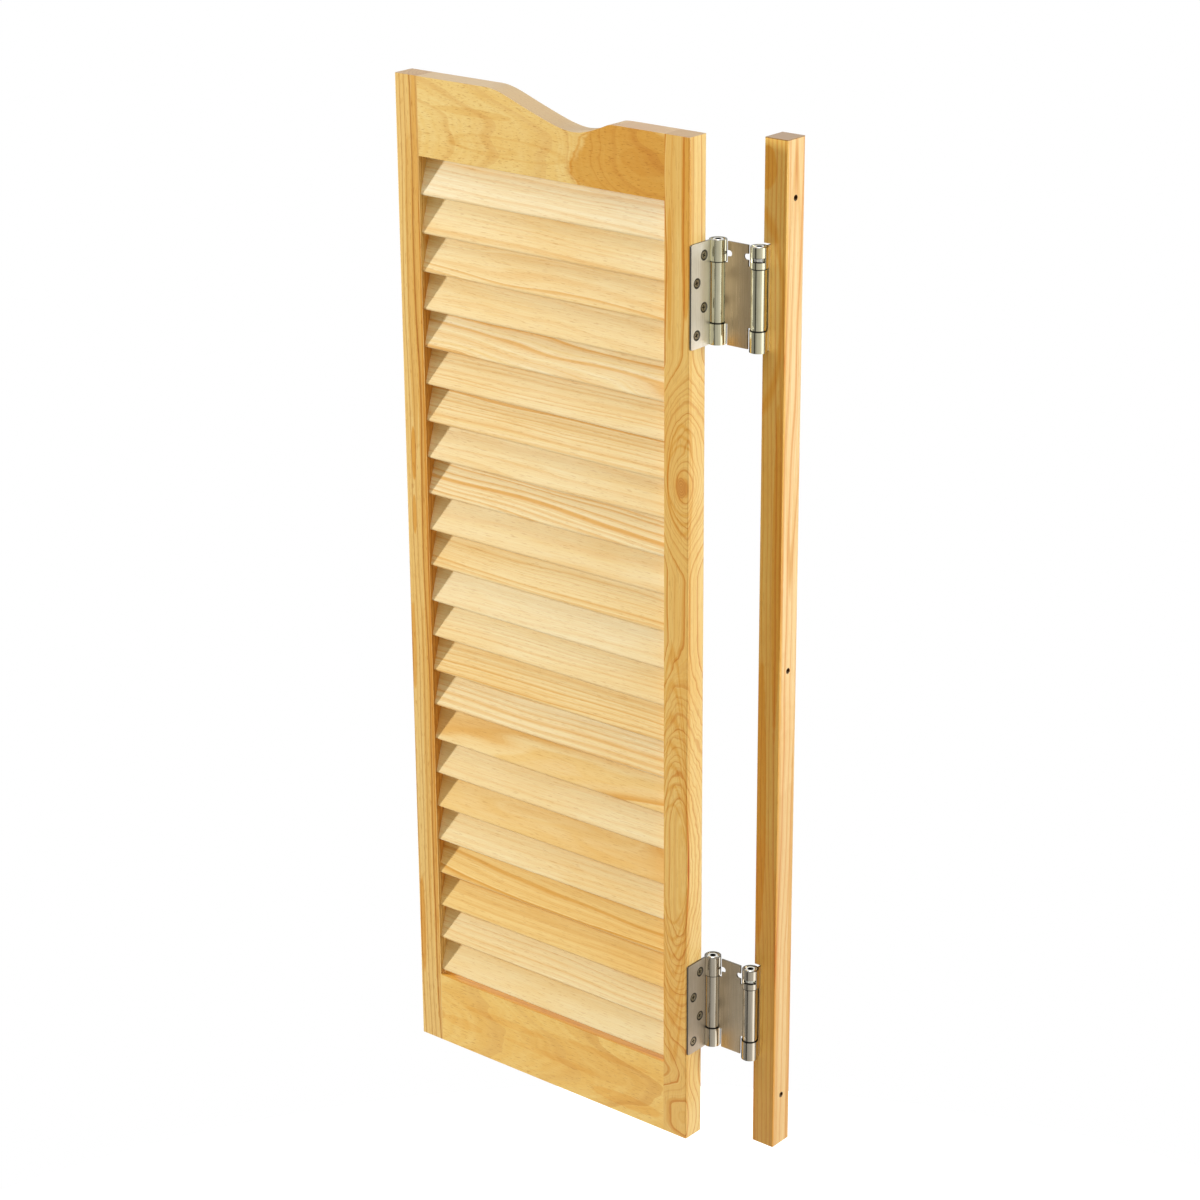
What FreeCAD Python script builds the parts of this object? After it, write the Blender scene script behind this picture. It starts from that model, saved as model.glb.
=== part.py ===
# Cafe swinging door: one louvred leaf, its mounting strip and the two double-action spring hinges between.
#
# Row frame, in millimetres: the origin is the middle screw hole of the mounting strip, on the face that
# lies against the door jamb. +X points out of that face into the jamb, +Z is up and -Y is the front.
# The stored pose has both barrels of each hinge turned a quarter turn open, so that the centre plates
# lie along X and the leaf stands clear of the strip.
import FreeCAD, Part
import math
import os

V = FreeCAD.Vector

# ---- Sizes of the leaf --------------------------------------------------------------------------
door_height = 1067.0        # free side, 42 in
door_width = 368.5
door_thickness = 25.5
hinge_side_drop = 16.5      # the hinge side of the top is this much lower
stile_width = 29.5
bottom_rail_height = 80.5
top_rail_height = 79.5      # at the free side
edge_round = 1.5            # eased outer corners of the stiles

# The top edge runs level from the free side, dips in an ogee and climbs to a lower level shoulder.
crest_end = 118.0           # distances from the free edge
dip_at = 228.0
shoulder_start = 286.0
dip_depth = 29.6            # below the crest

# ---- Louvres ------------------------------------------------------------------------------------
louvre_count = 23
louvre_lean = 17.5          # degrees from upright, top edge to the back
louvre_thickness = 6.5
louvre_edge_round = 2.2
louvre_inset = 1.1          # front edge behind the leaf's front face
louvre_overlap = 6.6        # how far each reaches up behind the one above
louvre_sill_gap = 5.6       # lowest front edge above the bottom rail
slot_depth = 6.0            # into each stile
louvre_fit = 0.15           # clearance all round in the slot
louvre_head_gap = 0.3       # between the highest louvre and the top rail

# ---- Dowels between rails and stiles ------------------------------------------------------------
dowel_diameter = 8.0
dowel_in_stile = 16.0
dowel_in_rail = 22.0
dowel_edge = 18.0           # from the rail's long edges to the dowel's centre
dowel_fit = 0.05
dowel_end_gap = 0.3

# ---- Mounting strip -----------------------------------------------------------------------------
strip_length = 1054.0
strip_width = 26.0
strip_depth = 27.5
strip_round = 1.0
strip_foot_drop = 4.0       # the strip's foot below the leaf's foot
wall_hole_diameter = 5.5
wall_hole_end = 56.0        # from the strip's ends to the outer holes
wall_sink_diameter = 11.0
notch_fit = 1.0             # notch longer than the leaf plate, at each end

# ---- Double-action spring hinge -----------------------------------------------------------------
hinge_height = 101.6        # 4 in
upper_hinge_inset = 101.0   # below the top of the hinge side
lower_hinge_inset = 98.0    # above the foot of the leaf
leaf_thickness = 2.0
web_length = 48.0           # between the two barrels' axes
web_thickness = 1.6
web_inset = 0.5             # centre plate shorter than the leaves, at each end
web_to_axis = 12.0          # plate's side edges beside the knuckles
barrel_offset = 12.1        # barrel axis behind the face of the wood that it swings clear of
barrel_lift = 4.9           # barrel axis off the face that the leaf is screwed to
closed_gap = 2.0            # between leaf and strip with the door shut
leaf_front_margin = 0.6     # leaf plate's edge behind the leaf's front face
knuckle_radius = 8.6
knuckle_height = 21.0
tube_radius = 7.5
tube_wall = 1.6
tube_end_gap = 0.2          # between the tube's ends and the knuckles
leaf_cut_gap = 0.8          # between the tube and the leaf plate's cut-out
leaf_corner = 2.0

# ---- Tension adjuster, its window and its pin notch --------------------------------------------
running_fit = 0.08          # radial clearance where round parts turn
adjust_height = 12.1        # pin holes below the hinge's top
adjust_hole_diameter = 2.6
adjust_hole_depth = 2.4
adjust_hole_count = 8
window_height = 4.6
window_start = -115.0       # degrees about the jamb barrel, from +X towards +Y
window_sweep = 100.0
pin_hole_diameter = 3.0
pin_notch_height = 6.0
pin_notch_depth = 5.0
key_across_flats = 5.5
key_depth = 5.0
cap_groove_width = 1.1      # round the adjuster's top, inside the knuckle's rim
cap_groove_depth = 1.4
cap_chamfer = 0.5
plug_chamfer = 0.9          # at the foot of the pivot pin
journal_length = 8.0        # of the adjuster and the pivot pin inside the tube
spindle_radius = 2.2
spindle_entry = 4.0         # spindle's end inside the adjuster
spring_wall = 1.8
spring_fit = 0.4            # radial, inside the tube
spring_end_gap = 0.2
dimple_radius = 1.5
dimple_depth = 0.6
dimple_rise = 3.8           # above the tube's lower end
dimple_angle = -95.0

# ---- Hinge screws -------------------------------------------------------------------------------
screw_pitch = 25.2
screw_rows = 4
screw_near = 17.4           # from the barrel's axis, alternately near and far
screw_far = 28.1
screw_shank = 4.2
screw_head = 8.4
screw_recess = 0.4          # head below the leaf plate's face
door_screw_length = 22.0
strip_screw_length = 16.0
screw_fit = 0.05

# ---- Places that follow from the sizes ----------------------------------------------------------
Z_AXIS = V(0, 0, 1)
strip_bottom = -strip_length / 2
strip_front = -strip_depth / 2
strip_left = -strip_width
front_setback = web_length - barrel_offset - door_thickness   # shut, leaf and strip are flush in front
axis_y = strip_front - front_setback
jamb_axis_x = strip_left + barrel_lift - closed_gap
door_axis_x = jamb_axis_x - web_length
door_right = door_axis_x - barrel_lift
door_left = door_right - door_width
door_back = axis_y - barrel_offset
door_front = door_back - door_thickness
door_bottom = strip_bottom + strip_foot_drop
door_top = door_bottom + door_height
shoulder_top = door_top - hinge_side_drop
sill = door_bottom + bottom_rail_height
head = door_top - top_rail_height
inner_left = door_left + stile_width
inner_right = door_right - stile_width
leaf_width = barrel_offset + door_thickness - leaf_front_margin
notch_face = jamb_axis_x + barrel_lift
hinge_bottoms = {
    "upper": shoulder_top - upper_hinge_inset - hinge_height,
    "lower": door_bottom + lower_hinge_inset,
}
knuckle_bore = knuckle_radius - leaf_thickness
tube_bore = tube_radius - tube_wall
screw_head_depth = (screw_head - screw_shank) / 2
screw_radius = screw_shank / 2
sink_radius = screw_head / 2 + screw_recess
louvre_pitch = (head - sill - louvre_sill_gap) / louvre_count

os.makedirs("parts", exist_ok=True)


def save(name, shape):
    """Write one named piece."""
    shape.exportStep("parts/" + name + ".step")


def box(x0, x1, y0, y1, z0, z1):
    """A box between two corners."""
    return Part.makeBox(x1 - x0, y1 - y0, z1 - z0, V(x0, y0, z0))


def rod(radius, start, direction, length):
    """A cylinder from a point along a direction."""
    return Part.makeCylinder(radius, length, start, direction)


def turned(profile):
    """A solid turned about Z from (radius, height) points, the first and last on the axis."""
    points = [V(r, 0, z) for r, z in profile]
    face = Part.Face(Part.makePolygon(points + points[:1]))
    return face.revolve(V(0, 0, 0), Z_AXIS, 360)


def rounded(points, radii):
    """A flat face with the given corners, each rounded by its radius."""
    edges = []
    ends = []
    count = len(points)
    for i in range(count):
        corner = points[i]
        before = (points[i - 1] - corner).normalize()
        after = (points[(i + 1) % count] - corner).normalize()
        half = before.getAngle(after) / 2
        if radii[i] > 0:
            reach = radii[i] / math.tan(half)
            bisector = (before + after).normalize()
            middle = corner + bisector * (radii[i] / math.sin(half) - radii[i])
            first = corner + before * reach
            last = corner + after * reach
            edges.append(Part.Arc(first, middle, last).toShape())
        else:
            first = corner
            last = corner
        ends.append((first, last))
    for i in range(count):
        start = ends[i][1]
        finish = ends[(i + 1) % count][0]
        if start.distanceToPoint(finish) > 1e-6:
            edges.append(Part.makeLine(start, finish))
    return Part.Face(Part.Wire(Part.__sortEdges__(edges)))


# ==== Louvres ====================================================================================
# Each slat is a thin board with bull-nosed long edges. It leans back from its front lower edge, and
# both of its ends stand in slanting slots cut in the stiles.
lean = math.radians(louvre_lean)
up_slat = V(0, math.sin(lean), math.cos(lean))
through_slat = V(0, math.cos(lean), -math.sin(lean))


def slat(x0, x1, front_edge_z, chord, grow):
    """One slat between two X positions, thicker all round by grow for its slot."""
    origin = V(x0, door_front + louvre_inset, front_edge_z)
    low = -grow
    high = chord + grow
    front = -grow
    back = louvre_thickness + grow
    corners = []
    for along, across in ((low, front), (high, front), (high, back), (low, back)):
        corners.append(origin + up_slat * along + through_slat * across)
    face = rounded(corners, [louvre_edge_round + grow] * 4)
    return face.extrude(V(x1 - x0, 0, 0))


full_chord = (louvre_pitch + louvre_overlap) / math.cos(lean)
head_chord = (louvre_pitch - louvre_head_gap) / math.cos(lean)
louvre_places = []
for i in range(louvre_count):
    highest = i == louvre_count - 1
    louvre_places.append((sill + louvre_sill_gap + louvre_pitch * i, head_chord if highest else full_chord))

for number, (edge_z, chord) in enumerate(louvre_places, 1):
    slat_left = inner_left - slot_depth + louvre_fit
    slat_right = inner_right + slot_depth - louvre_fit
    save("louvre_%02d" % number, slat(slat_left, slat_right, edge_z, chord, 0.0))

slots = {
    "left": Part.makeCompound([slat(inner_left - slot_depth, inner_left + 1, z, chord, louvre_fit)
                               for z, chord in louvre_places]),
    "right": Part.makeCompound([slat(inner_right - 1, inner_right + slot_depth, z, chord, louvre_fit)
                                for z, chord in louvre_places]),
}

# ==== Dowels =====================================================================================
# Two dowels hold each end of each rail to its stile.
dowel_y = (door_front + door_back) / 2
dowel_heights = {
    "left": (door_bottom + dowel_edge, sill - dowel_edge, head + dowel_edge, door_top - dowel_edge),
    "right": (door_bottom + dowel_edge, sill - dowel_edge, head + dowel_edge, shoulder_top - dowel_edge),
}
dowels = []
dowel_holes = []
for side, inner, into_rail in (("left", inner_left, 1), ("right", inner_right, -1)):
    for z in dowel_heights[side]:
        along = V(into_rail, 0, 0)
        start = V(inner - into_rail * dowel_in_stile, dowel_y, z)
        length = dowel_in_stile + dowel_in_rail
        dowels.append(rod(dowel_diameter / 2, start, along, length))
        hole_start = start - along * dowel_end_gap
        hole_length = length + 2 * dowel_end_gap
        dowel_holes.append(rod(dowel_diameter / 2 + dowel_fit, hole_start, along, hole_length))
save("rail_dowels", Part.makeCompound(dowels))
all_dowel_holes = Part.makeCompound(dowel_holes)


# ==== Hinge screws ===============================================================================
# Countersunk wood screws, four to a leaf in a zigzag. They are placed in the frame of one barrel:
# the axis is Z, the leaf plate runs to +Y and lies on the wood at x = barrel_lift.
def screw_places():
    """(y, z) of each screw, from the barrel's axis and the hinge's foot."""
    places = []
    for i in range(screw_rows):
        z = hinge_height / 2 + (i - (screw_rows - 1) / 2) * screw_pitch
        y = screw_near if i % 2 == screw_rows % 2 + 1 else screw_far
        places.append((y, z))
    return places


def screw(y, z, length, grow):
    """One screw pointing to +X with its head just below the leaf's outer face."""
    tip = screw_radius * 1.2
    shape = turned([
        (0, 0),
        (screw_head / 2 + grow, 0),
        (screw_radius + grow, screw_head_depth),
        (screw_radius + grow, length - tip),
        (0.4 + grow, length + grow),
        (0, length + grow),
    ])
    shape.rotate(V(0, 0, 0), V(0, 1, 0), 90)
    shape.translate(V(barrel_lift - leaf_thickness + screw_recess, y, z))
    return shape


def countersink(y, z):
    """The part of a screw's cone that is open above its head."""
    face = barrel_lift - leaf_thickness
    return Part.makeCone(sink_radius + screw_fit, screw_head / 2 + screw_fit, screw_recess,
                         V(face, y, z), V(1, 0, 0))


def screw_set(length, grow):
    """All screws of one leaf."""
    return Part.makeCompound([screw(y, z, length, grow) for y, z in screw_places()])


# ==== Hinge pieces, in the frame of one barrel ===================================================
top_knuckle = hinge_height - knuckle_height
tube_foot = knuckle_height + tube_end_gap
tube_head = hinge_height - knuckle_height - tube_end_gap
adjust_z = hinge_height - adjust_height


def hinge_leaf():
    """Leaf plate with a knuckle rolled at each end and a cut-out between them for the tube."""
    outer = barrel_lift - leaf_thickness
    joint_y = math.sqrt(knuckle_bore ** 2 - outer ** 2)
    cut_y = tube_radius + leaf_cut_gap
    corners = [
        V(outer, joint_y, 0), V(outer, leaf_width, 0),
        V(outer, leaf_width, hinge_height), V(outer, joint_y, hinge_height),
        V(outer, joint_y, top_knuckle), V(outer, cut_y, top_knuckle),
        V(outer, cut_y, knuckle_height), V(outer, joint_y, knuckle_height),
    ]
    radii = [0, leaf_corner, leaf_corner, 0, 0, 0, 0, 0]
    leaf = rounded(corners, radii).extrude(V(leaf_thickness, 0, 0))
    for z in (0, top_knuckle):
        leaf = leaf.fuse(rod(knuckle_radius, V(0, 0, z), Z_AXIS, knuckle_height))
    leaf = leaf.cut(rod(knuckle_bore, V(0, 0, -1), Z_AXIS, hinge_height + 2))
    window_foot = V(0, 0, adjust_z - window_height / 2)
    window = Part.makeCylinder(knuckle_radius + 1, window_height, window_foot, Z_AXIS, window_sweep)
    window.rotate(V(0, 0, 0), Z_AXIS, window_start)
    leaf = leaf.cut(window)
    leaf = leaf.cut(rod(pin_hole_diameter / 2, V(0, 0, adjust_z), V(-1, 0, 0), knuckle_radius + 1))
    leaf = leaf.cut(screw_set(leaf_thickness * 3, screw_fit))
    leaf = leaf.cut(Part.makeCompound([countersink(y, z) for y, z in screw_places()]))
    return leaf.removeSplitter()


def centre_plate():
    """Flat centre plate with a spring tube on each side, from the jamb barrel's axis at the origin."""
    left = -web_length + web_to_axis
    right = -web_to_axis
    half = web_thickness / 2
    plate = box(left, right, -half, half, web_inset, hinge_height - web_inset)
    notch_round = pin_notch_height / 2
    for edge, inward in ((left, 1), (right, -1)):
        end = edge + inward * (pin_notch_depth - notch_round)
        notch = rod(notch_round, V(end, -half - 1, adjust_z), V(0, 1, 0), web_thickness + 2)
        mouth = edge - inward
        notch = notch.fuse(box(min(end, mouth), max(end, mouth), -half - 1, half + 1,
                               adjust_z - notch_round, adjust_z + notch_round))
        plate = plate.cut(notch)
    join = tube_radius - tube_wall / 2
    plate = plate.fuse(box(-web_length + join, -join, -half, half, tube_foot, tube_head))
    for axis_x, turn in ((0, 0), (-web_length, 180)):
        plate = plate.fuse(rod(tube_radius, V(axis_x, 0, tube_foot), Z_AXIS, tube_head - tube_foot))
    for axis_x, turn in ((0, 0), (-web_length, 180)):
        plate = plate.cut(rod(tube_bore, V(axis_x, 0, 0), Z_AXIS, hinge_height))
        angle = math.radians(dimple_angle + turn)
        outward = V(math.cos(angle), math.sin(angle), 0)
        base = V(axis_x, 0, tube_foot + dimple_rise) + outward * (tube_radius - dimple_depth)
        dimple = Part.makeCone(0.3, dimple_radius * 2, dimple_depth * 2.5, base, outward)
        plate = plate.cut(dimple)
    return plate.removeSplitter()


def adjuster():
    """Tension adjuster: a capped plug with a key socket and a ring of pin holes, journalled below."""
    outer = knuckle_bore - running_fit
    journal = tube_bore - running_fit
    shoulder = tube_head + tube_end_gap / 2
    foot = tube_head - journal_length
    plug = turned([
        (0, foot),
        (journal, foot),
        (journal, shoulder),
        (outer, shoulder),
        (outer, hinge_height - cap_groove_depth),
        (outer - cap_groove_width, hinge_height - cap_groove_depth),
        (outer - cap_groove_width, hinge_height - cap_chamfer),
        (outer - cap_groove_width - cap_chamfer, hinge_height),
        (0, hinge_height),
    ])
    hexagon = []
    for i in range(6):
        angle = math.radians(60 * i + 30)
        reach = key_across_flats / 2 / math.cos(math.radians(30))
        hexagon.append(V(reach * math.cos(angle), reach * math.sin(angle), hinge_height - key_depth))
    socket = Part.Face(Part.makePolygon(hexagon + hexagon[:1])).extrude(V(0, 0, key_depth + 1))
    plug = plug.cut(socket)
    plug = plug.cut(rod(spindle_radius + running_fit, V(0, 0, foot - 1), Z_AXIS, spindle_entry + 2))
    for i in range(adjust_hole_count):
        angle = math.radians(360 / adjust_hole_count * (i + 0.5))
        outward = V(math.cos(angle), math.sin(angle), 0)
        start = V(0, 0, adjust_z) + outward * (outer - adjust_hole_depth)
        plug = plug.cut(rod(adjust_hole_diameter / 2, start, outward, adjust_hole_depth + 1))
    return plug


def pivot_pin():
    """Turned pin: plug seated in the leaf's lower knuckle, journal in the tube and spindle through it."""
    journal = tube_bore - running_fit
    shoulder = tube_foot - tube_end_gap / 2
    neck = tube_foot + journal_length
    tip = tube_head - journal_length + spindle_entry
    return turned([
        (0, 0),
        (knuckle_bore - plug_chamfer, 0),
        (knuckle_bore, plug_chamfer),
        (knuckle_bore, shoulder),
        (journal, shoulder),
        (journal, neck),
        (spindle_radius, neck),
        (spindle_radius, tip),
        (0, tip),
    ])


def torsion_spring():
    """Close-wound torsion spring as a sleeve of the coil's outer and inner size."""
    foot = tube_foot + journal_length + spring_end_gap
    length = tube_head - journal_length - spring_end_gap - foot
    outer = tube_bore - spring_fit
    coil = rod(outer, V(0, 0, foot), Z_AXIS, length)
    return coil.cut(rod(outer - spring_wall, V(0, 0, foot - 1), Z_AXIS, length + 2))


def at_jamb(shape, hinge):
    """Place a barrel-frame shape at the strip's barrel of a hinge."""
    placed = shape.copy()
    placed.translate(V(jamb_axis_x, axis_y, hinge_bottoms[hinge]))
    return placed


def at_door(shape, hinge):
    """Place a barrel-frame shape at the leaf's barrel, half a turn round from the strip's."""
    placed = shape.copy()
    placed.rotate(V(0, 0, 0), Z_AXIS, 180)
    placed.translate(V(door_axis_x, axis_y, hinge_bottoms[hinge]))
    return placed


leaf_shape = hinge_leaf()
web_shape = centre_plate()
adjuster_shape = adjuster()
pin_shape = pivot_pin()
spring_shape = torsion_spring()
for hinge in hinge_bottoms:
    save(hinge + "_centre_plate", at_jamb(web_shape, hinge))
    save(hinge + "_jamb_leaf", at_jamb(leaf_shape, hinge))
    save(hinge + "_jamb_adjuster", at_jamb(adjuster_shape, hinge))
    save(hinge + "_jamb_pivot_pin", at_jamb(pin_shape, hinge))
    save(hinge + "_jamb_spring", at_jamb(spring_shape, hinge))
    save(hinge + "_door_leaf", at_door(leaf_shape, hinge))
    save(hinge + "_door_adjuster", at_door(adjuster_shape, hinge))
    save(hinge + "_door_pivot_pin", at_door(pin_shape, hinge))
    save(hinge + "_door_spring", at_door(spring_shape, hinge))


def both_hinges(place, length, grow):
    """The screws of both hinges on one side."""
    return Part.makeCompound([place(screw_set(length, grow), hinge) for hinge in hinge_bottoms])


save("door_leaf_screws", both_hinges(at_door, door_screw_length, 0.0))
save("jamb_leaf_screws", both_hinges(at_jamb, strip_screw_length, 0.0))


# ==== Stiles =====================================================================================
# Upright boards with eased outer corners. Their inner edges are square, where the rails butt on them.
def stile(x0, x1, top, outer_left):
    """A stile between two X positions, eased on its outer side."""
    corners = [V(x0, door_front, door_bottom), V(x1, door_front, door_bottom),
               V(x1, door_back, door_bottom), V(x0, door_back, door_bottom)]
    left = edge_round if outer_left else 0
    right = 0 if outer_left else edge_round
    return rounded(corners, [left, right, right, left]).extrude(V(0, 0, top - door_bottom))


free_stile = stile(door_left, inner_left, door_top, True).cut(slots["left"]).cut(all_dowel_holes)
hinge_stile = stile(inner_right, door_right, shoulder_top, False).cut(slots["right"]).cut(all_dowel_holes)
hinge_stile = hinge_stile.cut(both_hinges(at_door, door_screw_length, screw_fit))
save("free_stile", free_stile)
save("hinge_stile", hinge_stile)

# ==== Rails ======================================================================================
bottom_rail = box(inner_left, inner_right, door_front, door_back, door_bottom, sill).cut(all_dowel_holes)
save("bottom_rail", bottom_rail)

# The top rail is one board whose upper edge is the ogee, drawn as a fair curve with level ends.
crest = V(door_left + crest_end, door_front, door_top)
dip = V(door_left + dip_at, door_front, door_top - dip_depth)
shoulder = V(door_left + shoulder_start, door_front, shoulder_top)


def between(a, b, share_x, share_z):
    """A point part of the way from a to b."""
    return V(a.x + (b.x - a.x) * share_x, a.y, a.z + (b.z - a.z) * share_z)


ogee_points = [
    crest,
    between(crest, dip, 0.155, 0.081),
    between(crest, dip, 0.38, 0.365),
    between(crest, dip, 0.61, 0.662),
    between(crest, dip, 0.79, 0.872),
    dip,
    between(dip, shoulder, 0.38, 0.29),
    between(dip, shoulder, 0.69, 0.83),
    shoulder,
]
ogee = Part.BSplineCurve()
ogee.interpolate(Points=ogee_points, InitialTangent=V(1, 0, 0), FinalTangent=V(1, 0, 0))
rail_outline = [
    Part.makeLine(V(inner_left, door_front, head), V(inner_left, door_front, door_top)),
    Part.makeLine(V(inner_left, door_front, door_top), crest),
    ogee.toShape(),
    Part.makeLine(shoulder, V(inner_right, door_front, shoulder_top)),
    Part.makeLine(V(inner_right, door_front, shoulder_top), V(inner_right, door_front, head)),
    Part.makeLine(V(inner_right, door_front, head), V(inner_left, door_front, head)),
]
top_rail = Part.Face(Part.Wire(rail_outline)).extrude(V(0, door_thickness, 0))
save("top_rail", top_rail.cut(all_dowel_holes))

# ==== Mounting strip =============================================================================
# A square batten for the jamb. A through notch at each hinge takes the leaf plate, so that the shut
# leaf stands close to the strip. Three countersunk holes take the screws into the jamb.
strip_corners = [V(strip_left, strip_front, strip_bottom), V(0, strip_front, strip_bottom),
                 V(0, -strip_front, strip_bottom), V(strip_left, -strip_front, strip_bottom)]
strip = rounded(strip_corners, [strip_round] * 4).extrude(V(0, 0, strip_length))
for hinge in hinge_bottoms:
    foot = hinge_bottoms[hinge] - notch_fit
    strip = strip.cut(box(strip_left - 1, notch_face, strip_front - 1, -strip_front + 1,
                          foot, foot + hinge_height + 2 * notch_fit))
wall_hole_pitch = strip_length / 2 - wall_hole_end
sink_depth = (wall_sink_diameter - wall_hole_diameter) / 2
for z in (-wall_hole_pitch, 0, wall_hole_pitch):
    strip = strip.cut(rod(wall_hole_diameter / 2, V(strip_left - 1, 0, z), V(1, 0, 0), strip_width + 2))
    strip = strip.cut(Part.makeCone(wall_sink_diameter / 2, wall_hole_diameter / 2, sink_depth,
                                    V(strip_left, 0, z), V(1, 0, 0)))
strip = strip.cut(both_hinges(at_jamb, strip_screw_length, screw_fit))
save("jamb_strip", strip)
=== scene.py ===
import math
import random

import bmesh
import bpy
from mathutils import Matrix, Vector


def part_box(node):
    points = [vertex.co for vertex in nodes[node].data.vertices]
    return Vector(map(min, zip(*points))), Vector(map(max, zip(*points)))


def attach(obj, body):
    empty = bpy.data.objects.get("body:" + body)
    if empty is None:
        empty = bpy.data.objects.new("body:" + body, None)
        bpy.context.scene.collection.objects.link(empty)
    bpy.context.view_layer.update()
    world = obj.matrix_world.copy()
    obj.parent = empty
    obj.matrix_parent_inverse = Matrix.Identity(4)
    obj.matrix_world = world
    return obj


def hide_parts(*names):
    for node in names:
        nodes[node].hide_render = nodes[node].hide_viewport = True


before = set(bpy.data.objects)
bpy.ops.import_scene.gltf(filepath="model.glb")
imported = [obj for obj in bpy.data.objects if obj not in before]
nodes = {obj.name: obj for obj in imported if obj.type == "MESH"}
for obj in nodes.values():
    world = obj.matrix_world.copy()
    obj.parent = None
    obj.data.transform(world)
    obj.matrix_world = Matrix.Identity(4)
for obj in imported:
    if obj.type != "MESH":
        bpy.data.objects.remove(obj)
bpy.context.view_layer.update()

# ---- Stiles -------------------------------------------------------------------------------------
# The two upright boards of the leaf, sawn from clear-lacquered pine. Slanting slots in their inner
# edges hold the louvres. The grain of both runs up the board.


def tone(red, green, blue):
    """A colour written in screen values from 0 to 255."""
    def linear(value):
        value /= 255
        return value / 12.92 if value <= 0.04045 else ((value + 0.055) / 1.055) ** 2.4
    return (linear(red), linear(green), linear(blue), 1.0)


def workshop(finish):
    """Tools that add nodes to a finish. Each takes its inputs in order and gives an output back."""
    tree = finish.node_tree
    colour_mix_inputs = (0, 6, 7)
    colour_mix_output = 2

    def add(kind, *inputs, out=0, **settings):
        made = tree.nodes.new("ShaderNode" + kind)
        for key, value in settings.items():
            setattr(made, key, value)
        for socket, value in zip(made.inputs, inputs):
            if isinstance(value, bpy.types.NodeSocket):
                tree.links.new(value, socket)
            elif value is not None:
                socket.default_value = value
        return made.outputs[out]

    def blend(amount, first, second, way="MIX"):
        made = tree.nodes.new("ShaderNodeMix")
        made.data_type = "RGBA"
        made.blend_type = way
        for place, value in zip(colour_mix_inputs, (amount, first, second)):
            socket = made.inputs[place]
            if isinstance(value, bpy.types.NodeSocket):
                tree.links.new(value, socket)
            else:
                socket.default_value = value
        return made.outputs[colour_mix_output]

    def ramp(value, *stops):
        made = tree.nodes.new("ShaderNodeValToRGB")
        made.color_ramp.interpolation = "EASE"
        points = made.color_ramp.elements
        while len(points) < len(stops):
            points.new(0.5)
        for point, (place, level) in zip(points, stops):
            point.position = place
            point.color = (level, level, level, 1.0)
        tree.links.new(value, made.inputs[0])
        return made.outputs[0]

    return tree, add, blend, ramp


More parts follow.
